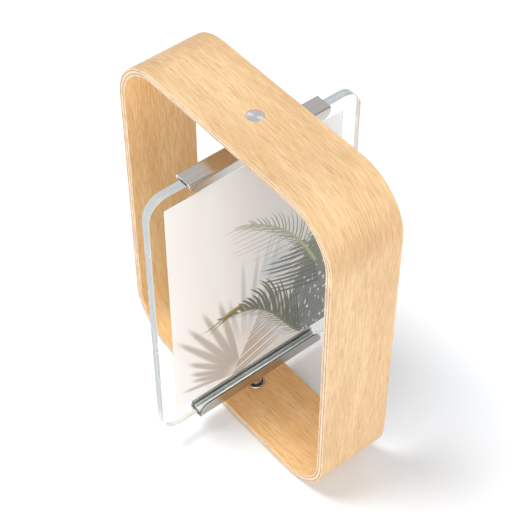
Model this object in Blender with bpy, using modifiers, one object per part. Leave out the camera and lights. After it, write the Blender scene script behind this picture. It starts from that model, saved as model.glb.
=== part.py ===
"""Swivel picture frame: a bentwood hoop, and a glass picture pack that turns in it on two pivots.

Metres, +Z up. The hoop's width lies along X and its depth along Y. The pack stands across the hoop,
as it is stored, with its front glass towards +X, and it turns about the world Z axis.
"""

import math

import bmesh
import bpy
from mathutils import Matrix, Vector

mm = 0.001

# Hoop: three plies bent to a rounded rectangle and glued face to face
hoop_width = 187 * mm
hoop_height = 240 * mm
hoop_depth = 50 * mm
hoop_corner_radius = 35 * mm  # outside
outer_ply_thickness = 1.2 * mm
core_ply_thickness = 1.75 * mm
inner_ply_thickness = 1.5 * mm
glue_line = 0.3 * mm
edge_easing = 0.5 * mm
corner_segments = 16

# Feet: small felt pads under the hoop's floor
foot_radius = 5 * mm
foot_height = 0.8 * mm
foot_inset_x = 10.5 * mm  # from where the floor's flat ends to the foot's centre
foot_inset_y = 8 * mm  # from the hoop's edge to the foot's centre

# Glass picture pack
swing_clearance = 13.45 * mm  # from the glass edge to the hoop's leg, turned flat into the hoop
pane_thickness = 2.25 * mm
pane_corner_radius = 13.3 * mm
pane_easing = 0.4 * mm
print_thickness = 0.3 * mm
print_side_border = 11.5 * mm
print_end_border = 11.95 * mm

# Clips: sheet-metal channels over the pack's top and bottom edges
clip_length = 98.6 * mm
clip_sheet = 1.0 * mm
clip_bend_radius = 1.3 * mm  # outside
top_flange_height = 7.2 * mm  # over the web
bottom_flange_height = 9.5 * mm
flange_corner_share = 0.8  # the flange's round corner, as a share of its height
liner_base = 0.6 * mm
liner_lip_width = 1.65 * mm
liner_lip_height = 1.1 * mm  # beside the glass, from its edge
liner_end_inset = 1.5 * mm

# Pivots
top_pivot_space = 12.6 * mm  # from the hoop's ceiling to the top clip
bottom_pivot_space = 11.2 * mm  # from the hoop's floor to the bottom clip
pin_radius = 2.0 * mm
pin_head_radius = 4.75 * mm
pin_head_thickness = 1.6 * mm
pin_head_recess = 0.3 * mm
bushing_wall = 0.7 * mm
thrust_washer_radius = 6.0 * mm
top_thrust_thickness = 1.2 * mm
wave_washer_radius = 5.0 * mm
wave_washer_sheet = 0.3 * mm
wave_height = 0.4 * mm  # from the middle to a crest
wave_count = 3
spacer_radius = 4.0 * mm
post_flange_thickness = 2.0 * mm
friction_washer_radius = 4.6 * mm
friction_washer_thickness = 0.8 * mm
turned_easing = 0.35 * mm
turn_steps = 32

# Clearances
gap = 0.3 * mm  # between pieces that touch or run on each other
overcut = 2 * mm  # how far a cutter runs past what it cuts

# Places worked out from the sizes above
hoop_wall = outer_ply_thickness + core_ply_thickness + inner_ply_thickness + 2 * glue_line
hoop_bottom = foot_height + gap
hoop_top = hoop_bottom + hoop_height
hoop_middle = (hoop_bottom + hoop_top) / 2
floor_z = hoop_bottom + hoop_wall
ceiling_z = hoop_top - hoop_wall
bottom_clip_z = floor_z + bottom_pivot_space  # underside of its web
top_clip_z = ceiling_z - top_pivot_space  # upper side of its web
edge_seat = clip_sheet + gap + liner_base + gap  # from a clip's outer face to the glass edge
glass_bottom = bottom_clip_z + edge_seat
glass_top = top_clip_z - edge_seat
glass_height = glass_top - glass_bottom
glass_width = hoop_width - 2 * hoop_wall - 2 * swing_clearance
glass_middle = (glass_bottom + glass_top) / 2
print_width = glass_width - 2 * print_side_border
print_height = glass_height - 2 * print_end_border
pack_thickness = 2 * pane_thickness + 2 * print_thickness + 3 * gap
clip_inner_width = pack_thickness + 2 * (gap + liner_lip_width + gap)
clip_width = clip_inner_width + 2 * clip_sheet
pin_hole_radius = pin_radius + gap
bushing_radius = pin_hole_radius + bushing_wall
counterbore_radius = pin_head_radius + gap
counterbore_depth = outer_ply_thickness + glue_line + core_ply_thickness

maple = (0.84, 0.60, 0.34)
maple_core = (0.93, 0.76, 0.52)
maple_inner = (0.74, 0.47, 0.22)
steel = (0.56, 0.55, 0.53)
bright_steel = (0.70, 0.69, 0.68)
clear_glass = (0.86, 0.93, 0.91)
print_paper = (0.84, 0.80, 0.77)
grey_rubber = (0.42, 0.42, 0.41)
white_nylon = (0.80, 0.79, 0.75)
grey_felt = (0.30, 0.28, 0.26)


def clear_scene():
    for obj in list(bpy.data.objects):
        bpy.data.objects.remove(obj, do_unlink=True)


def new_collection(name):
    collection = bpy.data.collections.new(name)
    bpy.context.scene.collection.children.link(collection)
    return collection


def make_material(name, colour, roughness, metallic=0.0, transmission=0.0):
    material = bpy.data.materials.new(name)
    material.use_nodes = True
    shader = material.node_tree.nodes["Principled BSDF"]
    shader.inputs["Base Color"].default_value = (*colour, 1.0)
    shader.inputs["Roughness"].default_value = roughness
    shader.inputs["Metallic"].default_value = metallic
    shader.inputs["Transmission Weight"].default_value = transmission
    return material


def add_part(name, bm, material, location=(0, 0, 0)):
    """A named object from a bmesh, with its own material, in the parts' collection."""
    mesh = bpy.data.meshes.new(name)
    bm.to_mesh(mesh)
    bm.free()
    obj = bpy.data.objects.new(name, mesh)
    obj.location = location
    mesh.materials.append(material)
    parts.objects.link(obj)
    return obj


def finish_smooth(obj, angle=35):
    obj.data.shade_smooth()
    obj.data.set_sharp_from_angle(angle=math.radians(angle))


def add_bevel(obj, width, segments=2, angle=50):
    bevel = obj.modifiers.new("eased_edges", "BEVEL")
    bevel.width = width
    bevel.segments = segments
    bevel.limit_method = "ANGLE"
    bevel.angle_limit = math.radians(angle)


def add_solidify(obj, thickness):
    solidify = obj.modifiers.new("wall", "SOLIDIFY")
    solidify.thickness = thickness
    solidify.offset = -1
    solidify.use_even_offset = True


def cut_round_hole(obj, name, radius, low, high):
    """Cuts a round hole on the swivel axis, from low to high, with an overcut at both ends."""
    bm = bmesh.new()
    bmesh.ops.create_cone(
        bm,
        cap_ends=True,
        segments=turn_steps,
        radius1=radius,
        radius2=radius,
        depth=high - low,
        matrix=Matrix.Translation((0, 0, (low + high) / 2)),
    )
    mesh = bpy.data.meshes.new(name)
    bm.to_mesh(mesh)
    bm.free()
    cutter = bpy.data.objects.new(name, mesh)
    cutter.hide_render = True
    cutter.display_type = "WIRE"
    cutters.objects.link(cutter)
    boolean = obj.modifiers.new(name, "BOOLEAN")
    boolean.operation = "DIFFERENCE"
    boolean.solver = "EXACT"
    boolean.object = cutter


def rounded_face(bm, width, height, radius, placing):
    """A rounded rectangle in the XY plane, moved by placing; returns its face."""
    corners = bmesh.ops.create_grid(bm, x_segments=1, y_segments=1, size=0.5)["verts"]
    bmesh.ops.scale(bm, vec=(width, height, 1), verts=corners)
    face = corners[0].link_faces[0]
    bmesh.ops.transform(bm, matrix=placing, verts=corners)
    if radius > 0:
        rounded = bmesh.ops.bevel(
            bm,
            geom=corners,
            offset=radius,
            offset_type="OFFSET",
            segments=corner_segments,
            profile=0.5,
            affect="VERTICES",
        )
        face = rounded["verts"][0].link_faces[0]
    return face


def upright(y, z):
    """Stands a flat outline up in the XZ plane at depth y, centred at height z."""
    return Matrix.Translation((0, y, z)) @ Matrix.Rotation(math.radians(90), 4, "X")


def across(x, z):
    """Stands a flat outline up in the YZ plane at x, centred at height z."""
    turn = Matrix.Rotation(math.radians(90), 4, "Z") @ Matrix.Rotation(math.radians(90), 4, "X")
    return Matrix.Translation((x, 0, z)) @ turn


def bent_ply(name, inset, thickness, material):
    """One ply of the hoop; inset is from the hoop's outside to the ply's outer face."""
    bm = bmesh.new()
    face = rounded_face(
        bm,
        hoop_width - 2 * inset,
        hoop_height - 2 * inset,
        hoop_corner_radius - inset,
        upright(-hoop_depth / 2, hoop_middle),
    )
    bmesh.ops.inset_region(
        bm, faces=[face], thickness=thickness, use_boundary=True, use_even_offset=True
    )
    bmesh.ops.delete(bm, geom=[face], context="FACES")
    grown = bmesh.ops.extrude_face_region(bm, geom=list(bm.faces))["geom"]
    moved = [item for item in grown if isinstance(item, bmesh.types.BMVert)]
    bmesh.ops.translate(bm, vec=(0, hoop_depth, 0), verts=moved)
    bmesh.ops.recalc_face_normals(bm, faces=bm.faces)
    return add_part(name, bm, material)


def ease_rims(ply, outside):
    """Rounds a ply's two rims, on the hoop's outside or its inside."""
    middle = Vector((0, 0, hoop_middle))
    bm = bmesh.new()
    bm.from_mesh(ply.data)
    weight = bm.edges.layers.float.new("bevel_weight_edge")
    for edge in bm.edges:
        skins = [face for face in edge.link_faces if abs(face.normal.y) < 0.5]
        if len(skins) == 1:
            outward = skins[0].normal.dot(skins[0].calc_center_median() - middle)
            edge[weight] = float((outward > 0) == outside)
    bm.to_mesh(ply.data)
    bm.free()
    bevel = ply.modifiers.new("eased_rims", "BEVEL")
    bevel.width = edge_easing
    bevel.segments = 2
    bevel.limit_method = "WEIGHT"


def build_hoop():
    core_inset = outer_ply_thickness + glue_line
    inner_inset = core_inset + core_ply_thickness + glue_line
    layers = (
        ("outer_ply", 0, outer_ply_thickness, maple),
        ("core_ply", core_inset, core_ply_thickness, maple_core),
        ("inner_ply", inner_inset, inner_ply_thickness, maple_inner),
    )
    plies = {}
    for name, inset, thickness, colour in layers:
        material = make_material(name, colour, roughness=0.45)
        plies[name] = bent_ply(name, inset, thickness, material)
    ease_rims(plies["outer_ply"], outside=True)
    ease_rims(plies["inner_ply"], outside=False)
    for name in ("outer_ply", "core_ply"):
        cut_round_hole(
            plies[name],
            f"{name}_bottom_counterbore",
            counterbore_radius,
            hoop_bottom - overcut,
            hoop_bottom + counterbore_depth + glue_line / 2,
        )
        cut_round_hole(
            plies[name],
            f"{name}_top_counterbore",
            counterbore_radius,
            hoop_top - counterbore_depth - glue_line / 2,
            hoop_top + overcut,
        )
    bushing_hole = bushing_radius + gap
    cut_round_hole(
        plies["inner_ply"], "bottom_bushing_hole", bushing_hole, hoop_bottom, floor_z + overcut
    )
    cut_round_hole(
        plies["inner_ply"], "top_bushing_hole", bushing_hole, ceiling_z - overcut, hoop_top
    )
    for ply in plies.values():
        finish_smooth(ply)


def build_feet():
    foot_x = hoop_width / 2 - hoop_corner_radius - foot_inset_x
    foot_y = hoop_depth / 2 - foot_inset_y
    for side, sign_x in (("left", -1), ("right", 1)):
        for end, sign_y in (("front", -1), ("rear", 1)):
            name = f"foot_{end}_{side}"
            bm = bmesh.new()
            bmesh.ops.create_cone(
                bm,
                cap_ends=True,
                segments=turn_steps,
                radius1=foot_radius,
                radius2=foot_radius,
                depth=foot_height,
            )
            place = (sign_x * foot_x, sign_y * foot_y, foot_height / 2)
            foot = add_part(name, bm, make_material(name, grey_felt, roughness=0.95), place)
            finish_smooth(foot)


def sheet_between(name, x_low, x_high, width, height, radius, material):
    """A flat rounded sheet in the YZ plane, filling x_low to x_high, centred on the glass."""
    bm = bmesh.new()
    face = rounded_face(bm, width, height, radius, across(x_low, glass_middle))
    grown = bmesh.ops.extrude_face_region(bm, geom=[face])["geom"]
    moved = [item for item in grown if isinstance(item, bmesh.types.BMVert)]
    bmesh.ops.translate(bm, vec=(x_high - x_low, 0, 0), verts=moved)
    bmesh.ops.recalc_face_normals(bm, faces=bm.faces)
    return add_part(name, bm, material)


def build_pack():
    print_face = gap / 2 + print_thickness
    pane_face = print_face + gap
    for side, sign in (("front", 1), ("rear", -1)):
        name = f"{side}_glass"
        edges = sorted((sign * pane_face, sign * (pane_face + pane_thickness)))
        material = make_material(name, clear_glass, roughness=0.02, transmission=1.0)
        pane = sheet_between(name, *edges, glass_width, glass_height, pane_corner_radius, material)
        add_bevel(pane, pane_easing, segments=1)
        finish_smooth(pane)
        name = f"{side}_print"
        edges = sorted((sign * gap / 2, sign * print_face))
        material = make_material(name, print_paper, roughness=0.6)
        sheet_between(name, *edges, print_width, print_height, 0, material)


def clip_channel(flange_height):
    """A channel that opens downwards, with its web's upper side at z 0; one open outer surface."""
    bm = bmesh.new()
    bmesh.ops.create_cube(bm, size=1)
    bmesh.ops.scale(bm, vec=(clip_width, clip_length, flange_height), verts=bm.verts)
    bmesh.ops.translate(bm, vec=(0, 0, -flange_height / 2), verts=bm.verts)
    open_faces = [f for f in bm.faces if abs(f.normal.y) > 0.5 or f.normal.z < -0.5]
    bmesh.ops.delete(bm, geom=open_faces, context="FACES")
    tips = [v for v in bm.verts if v.co.z < -flange_height / 2]
    bmesh.ops.bevel(
        bm,
        geom=tips,
        offset=flange_height * flange_corner_share,
        offset_type="OFFSET",
        segments=corner_segments,
        profile=0.5,
        affect="VERTICES",
    )
    folds = [e for e in bm.edges if len(e.link_faces) == 2]
    bmesh.ops.bevel(
        bm,
        geom=folds,
        offset=clip_bend_radius,
        offset_type="OFFSET",
        segments=4,
        profile=0.5,
        affect="EDGES",
    )
    return bm


def build_clip(name, flange_height, web_z, opens_down):
    bm = clip_channel(flange_height)
    if not opens_down:
        bmesh.ops.rotate(bm, matrix=Matrix.Rotation(math.pi, 3, "Y"), verts=bm.verts)
    bmesh.ops.translate(bm, vec=(0, 0, web_z), verts=bm.verts)
    clip = add_part(name, bm, make_material(name, steel, roughness=0.3, metallic=1.0))
    add_solidify(clip, clip_sheet)
    hole_low, hole_high = web_z - overcut, web_z + overcut
    cut_round_hole(clip, f"{name}_pin_hole", pin_hole_radius, hole_low, hole_high)
    finish_smooth(clip)


def build_liner(name, seat_z, opens_down):
    """A channel liner: a base under the glass edge and a lip on each side of the pack."""
    width = clip_inner_width - 2 * gap
    length = clip_length - 2 * liner_end_inset
    groove = pack_thickness + 2 * gap
    height = liner_base + gap + liner_lip_height
    bm = bmesh.new()
    bmesh.ops.create_grid(bm, x_segments=3, y_segments=1, size=0.5)
    bmesh.ops.scale(bm, vec=(width, length, 1), verts=bm.verts)
    for vert in bm.verts:
        if abs(vert.co.x) < width / 3:
            vert.co.x = math.copysign(groove / 2, vert.co.x)
    base = bmesh.ops.extrude_face_region(bm, geom=list(bm.faces))["geom"]
    raised = [item for item in base if isinstance(item, bmesh.types.BMVert)]
    bmesh.ops.translate(bm, vec=(0, 0, liner_base), verts=raised)
    bm.faces.ensure_lookup_table()
    lips = [
        f
        for f in bm.faces
        if abs(f.calc_center_median().x) > groove / 2 and min(v.co.z for v in f.verts) >= liner_base
    ]
    lip_geometry = bmesh.ops.extrude_face_region(bm, geom=lips)["geom"]
    bmesh.ops.delete(bm, geom=lips, context="FACES_ONLY")
    raised = [item for item in lip_geometry if isinstance(item, bmesh.types.BMVert)]
    bmesh.ops.translate(bm, vec=(0, 0, height - liner_base), verts=raised)
    if opens_down:
        bmesh.ops.rotate(bm, matrix=Matrix.Rotation(math.pi, 3, "Y"), verts=bm.verts)
    bmesh.ops.translate(bm, vec=(0, 0, seat_z), verts=bm.verts)
    bmesh.ops.recalc_face_normals(bm, faces=bm.faces)
    add_part(name, bm, make_material(name, grey_rubber, roughness=0.8))


def turned(name, profile, material, closed):
    """Turns a profile of (radius, z) points about the world Z axis; it runs down its outer side."""
    bm = bmesh.new()
    verts = [bm.verts.new((radius, 0, z)) for radius, z in profile]
    ends = verts[1:] + verts[:1] if closed else verts[1:]
    for first, second in zip(verts, ends):
        bm.edges.new((first, second))
    obj = add_part(name, bm, material)
    screw = obj.modifiers.new("turn", "SCREW")
    screw.axis = "Z"
    screw.angle = math.radians(360)
    screw.steps = turn_steps
    screw.render_steps = turn_steps
    screw.use_merge_vertices = True
    screw.merge_threshold = 0.0001
    screw.use_smooth_shade = True
    return obj


def turned_ring(name, inner, outer, low, high, material, easing=0.0):
    profile = [(outer, high - easing), (outer, low + easing)]
    if easing > 0:
        profile = [(outer - easing, high), *profile, (outer - easing, low)]
    profile += [(inner, low), (inner, high)]
    return turned(name, profile, material, closed=True)


def turned_pin(name, head_z, tip_z, material):
    """A pin with a flat round head; head_z is the head's outer face and tip_z the shaft's end."""
    way = 1 if head_z > tip_z else -1
    under_head = head_z - way * pin_head_thickness
    profile = [
        (0, head_z),
        (pin_head_radius - turned_easing, head_z),
        (pin_head_radius, head_z - way * turned_easing),
        (pin_head_radius, under_head),
        (pin_radius, under_head),
        (pin_radius, tip_z),
        (0, tip_z),
    ]
    if way < 0:
        profile.reverse()
    return turned(name, profile, material, closed=False)


def build_bushing(name, flange_near_head, flange_far, sleeve_end):
    """A flanged sleeve in the hoop's wall; its flange lies under the pin's head."""
    flange_radius = counterbore_radius - gap
    profile = [
        (flange_radius, flange_near_head),
        (flange_radius, flange_far),
        (bushing_radius, flange_far),
        (bushing_radius, sleeve_end),
        (pin_hole_radius, sleeve_end),
        (pin_hole_radius, flange_near_head),
    ]
    if flange_near_head < sleeve_end:
        profile.reverse()
    turned(name, profile, make_material(name, white_nylon, roughness=0.5), closed=True)


def build_wave_washer(name, low):
    middle = low + wave_height + wave_washer_sheet / 2
    bm = bmesh.new()
    rings = []
    for radius in (pin_hole_radius, wave_washer_radius):
        ring = bmesh.ops.create_circle(bm, segments=2 * turn_steps, radius=radius)["verts"]
        rings += [edge for edge in bm.edges if edge.verts[0] in ring]
    bmesh.ops.bridge_loops(bm, edges=rings)
    for vert in bm.verts:
        turn = math.atan2(vert.co.y, vert.co.x)
        vert.co.z = middle + wave_height * math.cos(wave_count * turn)
    bmesh.ops.recalc_face_normals(bm, faces=bm.faces)
    washer = add_part(name, bm, make_material(name, bright_steel, roughness=0.3, metallic=1.0))
    add_solidify(washer, wave_washer_sheet)
    washer.modifiers["wall"].offset = 0
    washer.modifiers["wall"].use_even_offset = False
    finish_smooth(washer)


def build_top_pivot():
    head_z = hoop_top - pin_head_recess
    flange_z = head_z - pin_head_thickness - gap
    seat_z = hoop_top - counterbore_depth
    head_steel = make_material("top_pivot_pin", bright_steel, roughness=0.25, metallic=1.0)
    turned_pin("top_pivot_pin", head_z, top_clip_z - clip_sheet, head_steel)
    build_bushing("top_bushing", flange_z, seat_z, ceiling_z)
    washer_top = ceiling_z - gap
    washer_bottom = washer_top - top_thrust_thickness
    turned_ring(
        "top_thrust_washer",
        pin_hole_radius,
        thrust_washer_radius,
        washer_bottom,
        washer_top,
        make_material("top_thrust_washer", bright_steel, roughness=0.3, metallic=1.0),
        easing=turned_easing,
    )
    wave_low = washer_bottom - gap - 2 * wave_height - wave_washer_sheet
    build_wave_washer("wave_washer", wave_low)
    turned_ring(
        "top_spacer",
        pin_hole_radius,
        spacer_radius,
        top_clip_z + gap,
        wave_low - gap,
        make_material("top_spacer", steel, roughness=0.3, metallic=1.0),
        easing=turned_easing,
    )


def build_bottom_pivot():
    head_z = hoop_bottom + pin_head_recess
    flange_z = head_z + pin_head_thickness + gap
    seat_z = hoop_bottom + counterbore_depth
    head_steel = make_material("bottom_pivot_pin", bright_steel, roughness=0.25, metallic=1.0)
    turned_pin("bottom_pivot_pin", head_z, bottom_clip_z + clip_sheet, head_steel)
    build_bushing("bottom_bushing", flange_z, seat_z, floor_z)
    flange_low = floor_z + gap
    flange_high = flange_low + post_flange_thickness
    turned_ring(
        "post_flange",
        pin_hole_radius,
        thrust_washer_radius,
        flange_low,
        flange_high,
        make_material("post_flange", steel, roughness=0.3, metallic=1.0),
        easing=turned_easing,
    )
    friction_low = flange_high + gap
    friction_high = friction_low + friction_washer_thickness
    turned_ring(
        "friction_washer",
        pin_hole_radius,
        friction_washer_radius,
        friction_low,
        friction_high,
        make_material("friction_washer", grey_rubber, roughness=0.7),
    )
    turned_ring(
        "bottom_post",
        pin_hole_radius,
        spacer_radius,
        friction_high + gap,
        bottom_clip_z - gap,
        make_material("bottom_post", steel, roughness=0.3, metallic=1.0),
        easing=turned_easing,
    )


clear_scene()
parts = new_collection("swivel_picture_frame")
cutters = new_collection("cutters")
build_hoop()
build_feet()
build_pack()
build_clip("top_clip", top_flange_height, top_clip_z, opens_down=True)
build_clip("bottom_clip", bottom_flange_height, bottom_clip_z, opens_down=False)
build_liner("top_clip_liner", top_clip_z - clip_sheet - gap, opens_down=True)
build_liner("bottom_clip_liner", bottom_clip_z + clip_sheet + gap, opens_down=False)
build_top_pivot()
build_bottom_pivot()
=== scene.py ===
import bpy
import math
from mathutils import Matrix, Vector


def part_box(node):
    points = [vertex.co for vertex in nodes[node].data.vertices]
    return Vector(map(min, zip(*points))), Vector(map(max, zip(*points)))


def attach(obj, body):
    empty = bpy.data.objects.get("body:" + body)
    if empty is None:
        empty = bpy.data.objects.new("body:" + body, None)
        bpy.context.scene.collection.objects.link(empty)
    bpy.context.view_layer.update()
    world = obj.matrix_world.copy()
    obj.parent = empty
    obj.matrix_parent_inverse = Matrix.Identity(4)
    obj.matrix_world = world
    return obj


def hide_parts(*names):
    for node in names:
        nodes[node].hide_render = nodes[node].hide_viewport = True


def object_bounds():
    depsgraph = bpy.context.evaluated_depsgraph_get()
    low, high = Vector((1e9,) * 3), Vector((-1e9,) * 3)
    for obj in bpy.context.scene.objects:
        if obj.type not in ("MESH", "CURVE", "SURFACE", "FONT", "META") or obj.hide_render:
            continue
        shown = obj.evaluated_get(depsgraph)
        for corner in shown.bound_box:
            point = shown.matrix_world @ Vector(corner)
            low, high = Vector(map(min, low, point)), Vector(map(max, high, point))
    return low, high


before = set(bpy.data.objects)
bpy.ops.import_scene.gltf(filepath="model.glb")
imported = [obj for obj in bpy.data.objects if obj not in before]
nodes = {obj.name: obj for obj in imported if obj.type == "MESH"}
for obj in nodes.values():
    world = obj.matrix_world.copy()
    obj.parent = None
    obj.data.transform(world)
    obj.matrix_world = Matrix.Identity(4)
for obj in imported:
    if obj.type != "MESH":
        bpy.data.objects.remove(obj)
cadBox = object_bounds()
boxLow, boxHigh = cadBox
mm = 0.001


def deselectAll():
    bpy.ops.object.select_all(action="DESELECT")


def activate(piece):
    deselectAll()
    piece.select_set(True)
    bpy.context.view_layer.objects.active = piece


def startPiece(name):
    piece = bpy.context.active_object  # the primitive that was just added
    piece.name = name
    piece.data.name = name
    bpy.ops.object.transform_apply(location=True, rotation=True, scale=True)
    return piece


def startPicking(piece, kind):
    activate(piece)
    bpy.ops.object.mode_set(mode="EDIT")
    bpy.ops.mesh.select_mode(type=kind)
    bpy.ops.mesh.select_all(action="DESELECT")
    bpy.ops.object.mode_set(mode="OBJECT")


def pickFaces(piece, wanted):
    startPicking(piece, "FACE")
    for face in piece.data.polygons:
        face.select = bool(wanted(face))
    bpy.ops.object.mode_set(mode="EDIT")


def pickEdges(piece, wanted):
    startPicking(piece, "EDGE")
    points = piece.data.vertices
    for edge in piece.data.edges:
        first, second = (points[i].co for i in edge.vertices)
        edge.select = bool(wanted(first, second))
    bpy.ops.object.mode_set(mode="EDIT")


def pickPoints(piece, wanted):
    startPicking(piece, "VERT")
    for point in piece.data.vertices:
        point.select = bool(wanted(point.co))
    bpy.ops.object.mode_set(mode="EDIT")


def leaveEdit():
    bpy.ops.object.mode_set(mode="OBJECT")


def easeEdges(piece, width, segments=3, angle=40):
    ease = piece.modifiers.new("ease", "BEVEL")
    ease.width = width
    ease.segments = segments
    ease.limit_method = "ANGLE"
    ease.angle_limit = math.radians(angle)
    activate(piece)
    bpy.ops.object.modifier_apply(modifier=ease.name)


def giveWall(piece, thickness):
    wall = piece.modifiers.new("wall", "SOLIDIFY")
    wall.thickness = thickness
    wall.offset = -1
    wall.use_even_offset = True
    bpy.ops.object.modifier_apply(modifier=wall.name)


def finishPiece(piece, body, replaced, material, smoothAngle=30):
    activate(piece)
    bpy.ops.object.shade_smooth_by_angle(angle=math.radians(smoothAngle))
    flats = piece.modifiers.new("flats", "WEIGHTED_NORMAL")  # flats stay flat beside eased edges
    flats.keep_sharp = True
    bpy.ops.object.modifier_apply(modifier=flats.name)
    piece.data.materials.clear()
    for layer in material if isinstance(material, (list, tuple)) else [material]:
        piece.data.materials.append(layer)
    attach(piece, body)
    if replaced:
        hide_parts(replaced)
    deselectAll()
    return piece


class Nodes:  # short names for one material's node tree
    def __init__(self, name):
        self.material = bpy.data.materials.new(name)
        self.material.use_nodes = True
        self.tree = self.material.node_tree
        self.shader = self.tree.nodes["Principled BSDF"]
        self.output = self.tree.nodes["Material Output"]

    def add(self, kind, **settings):
        node = self.tree.nodes.new(kind)
        for key, value in settings.items():
            setattr(node, key, value)
        return node

    def link(self, source, target):
        self.tree.links.new(source, target)

    def feed(self, socket, value):
        if isinstance(value, bpy.types.NodeSocket):
            self.link(value, socket)
        elif value is not None:
            socket.default_value = value

    def math(self, kind, first, second=None):
        node = self.add("ShaderNodeMath", operation=kind)
        for socket, value in zip(node.inputs, (first, second)):
            self.feed(socket, value)
        return node.outputs[0]

    def plus(self, first, second):
        return self.math("ADD", first, second)

    def minus(self, first, second):
        return self.math("SUBTRACT", first, second)

    def times(self, first, second):
        return self.math("MULTIPLY", first, second)

    def over(self, first, second):
        return self.math("DIVIDE", first, second)

    def mix(self, amount, first, second):
        node = self.add("ShaderNodeMix", data_type="RGBA")
        self.feed(node.inputs["Factor"], amount)
        for socket, value in ((node.inputs["A"], first), (node.inputs["B"], second)):
            if isinstance(value, tuple) and len(value) == 3:
                value = (*value, 1)
            self.feed(socket, value)
        return node.outputs["Result"]

    def ramp(self, value, low, high, toLow=0.0, toHigh=1.0):
        node = self.add("ShaderNodeMapRange", interpolation_type="SMOOTHSTEP")
        for socket, number in zip(node.inputs, (value, low, high, toLow, toHigh)):
            self.feed(socket, number)
        return node.outputs[0]

    def scaled(self, vector, scale, move=(0, 0, 0)):
        node = self.add("ShaderNodeMapping")
        self.link(vector, node.inputs["Vector"])
        node.inputs["Location"].default_value = move
        node.inputs["Scale"].default_value = scale
        return node.outputs[0]

    def noise(self, vector, scale=1.0, detail=2.0, roughness=0.5, distortion=0.0):
        node = self.add("ShaderNodeTexNoise")
        self.link(vector, node.inputs["Vector"])
        node.inputs["Scale"].default_value = scale
        node.inputs["Detail"].default_value = detail
        node.inputs["Roughness"].default_value = roughness
        node.inputs["Distortion"].default_value = distortion
        return node.outputs["Fac"]

    def bump(self, height, strength, distance):
        node = self.add("ShaderNodeBump")
        node.inputs["Strength"].default_value = strength
        node.inputs["Distance"].default_value = distance
        self.link(height, node.inputs["Height"])
        self.link(node.outputs[0], self.shader.inputs["Normal"])

    def objectPoint(self):
        return self.add("ShaderNodeTexCoord").outputs["Object"]

    def set(self, **values):
        for key, value in values.items():
            self.shader.inputs[key.replace("_", " ")].default_value = value


view = {
    "azimuth": 50.96,  # degrees round from the front
    "elevation": 48.2,
    "distance": 0.9095,
    "lens": 107.24,
    "aim": (4.16 * mm, 0, 128.87 * mm),
}


def makeCamera():
    turn, rise = math.radians(view["azimuth"]), math.radians(view["elevation"])
    level = math.cos(rise)
    back = Vector((math.sin(turn) * level, -math.cos(turn) * level, math.sin(rise)))
    bpy.ops.object.camera_add(location=Vector(view["aim"]) + back * view["distance"])
    camera = bpy.context.active_object
    camera.rotation_mode = "QUATERNION"
    camera.rotation_quaternion = (-back).to_track_quat("-Z", "Y")
    camera.data.lens = view["lens"]
    camera.data.sensor_width = 36
    camera.data.clip_start = 0.01
    bpy.context.scene.camera = camera


studio = {
    "floorSize": 12,
    "floorColour": (0.875, 0.89, 0.91),
    "overhead": 0.27,
    "horizon": 0.33,
    # broad soft lights in the sky; degrees round from +X, degrees up
    "side": {"strength": 3.35, "spread": 2.0, "turn": -30, "rise": -3},
    "back": {"strength": 0.54, "spread": 6.0, "turn": 141, "rise": 48},
    "key": {"power": 76, "size": 1.35, "distance": 3.2, "turn": 231, "rise": 68},
}


def towardsLight(lamp):
    turn, rise = math.radians(lamp["turn"]), math.radians(lamp["rise"])
    level = math.cos(rise)
    return Vector((math.cos(turn) * level, math.sin(turn) * level, math.sin(rise)))


def makeFloor():
    bpy.ops.mesh.primitive_grid_add(x_subdivisions=2, y_subdivisions=2, size=studio["floorSize"])
    floor = startPiece("floor")
    paint = Nodes("paperFloor")
    paint.set(Base_Color=(*studio["floorColour"], 1), Roughness=0.9, Specular_IOR_Level=0.1)
    floor.data.materials.append(paint.material)
    deselectAll()


def makeSky():
    world = bpy.data.worlds.new("studio")
    bpy.context.scene.world = world
    world.use_nodes = True
    tree = world.node_tree
    background = tree.nodes["Background"]
    background.inputs["Color"].default_value = (1, 1, 1, 1)
    direction = tree.nodes.new("ShaderNodeTexCoord").outputs["Generated"]
    split = tree.nodes.new("ShaderNodeSeparateXYZ")
    grade = tree.nodes.new("ShaderNodeMapRange")
    tree.links.new(direction, split.inputs[0])
    tree.links.new(split.outputs["Z"], grade.inputs[0])
    heights = (0, 0.9, studio["horizon"], studio["overhead"])  # from and to, then the light at both
    for socket, number in zip(list(grade.inputs)[1:5], heights):
        socket.default_value = number
    total = grade.outputs[0]
    for name in ("side", "back"):
        lamp = studio[name]
        facing = tree.nodes.new("ShaderNodeVectorMath")
        facing.operation = "DOT_PRODUCT"
        facing.inputs[1].default_value = towardsLight(lamp)
        tree.links.new(direction, facing.inputs[0])
        step = facing.outputs["Value"]
        steps = (("MAXIMUM", 0.0), ("POWER", lamp["spread"]),
                 ("MULTIPLY", lamp["strength"]), ("ADD", total))
        for kind, value in steps:
            work = tree.nodes.new("ShaderNodeMath")
            work.operation = kind
            tree.links.new(step, work.inputs[0])
            if kind == "ADD":
                tree.links.new(value, work.inputs[1])
            else:
                work.inputs[1].default_value = value
            step = work.outputs[0]
        total = step
    tree.links.new(total, background.inputs["Strength"])
    bpy.context.scene.view_settings.view_transform = "Standard"


def makeKey():
    lamp = studio["key"]
    towards = towardsLight(lamp)
    middle = (boxLow + boxHigh) / 2
    bpy.ops.object.light_add(type="AREA", location=middle + towards * lamp["distance"])
    light = bpy.context.active_object
    light.name = "keySoftbox"
    light.data.energy = lamp["power"]
    light.data.shape = "DISK"
    light.data.size = lamp["size"]
    light.rotation_mode = "QUATERNION"
    light.rotation_quaternion = (-towards).to_track_quat("-Z", "Y")


makeCamera()
makeFloor()
makeSky()
makeKey()
print("camera, floor and light are set")


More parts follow.
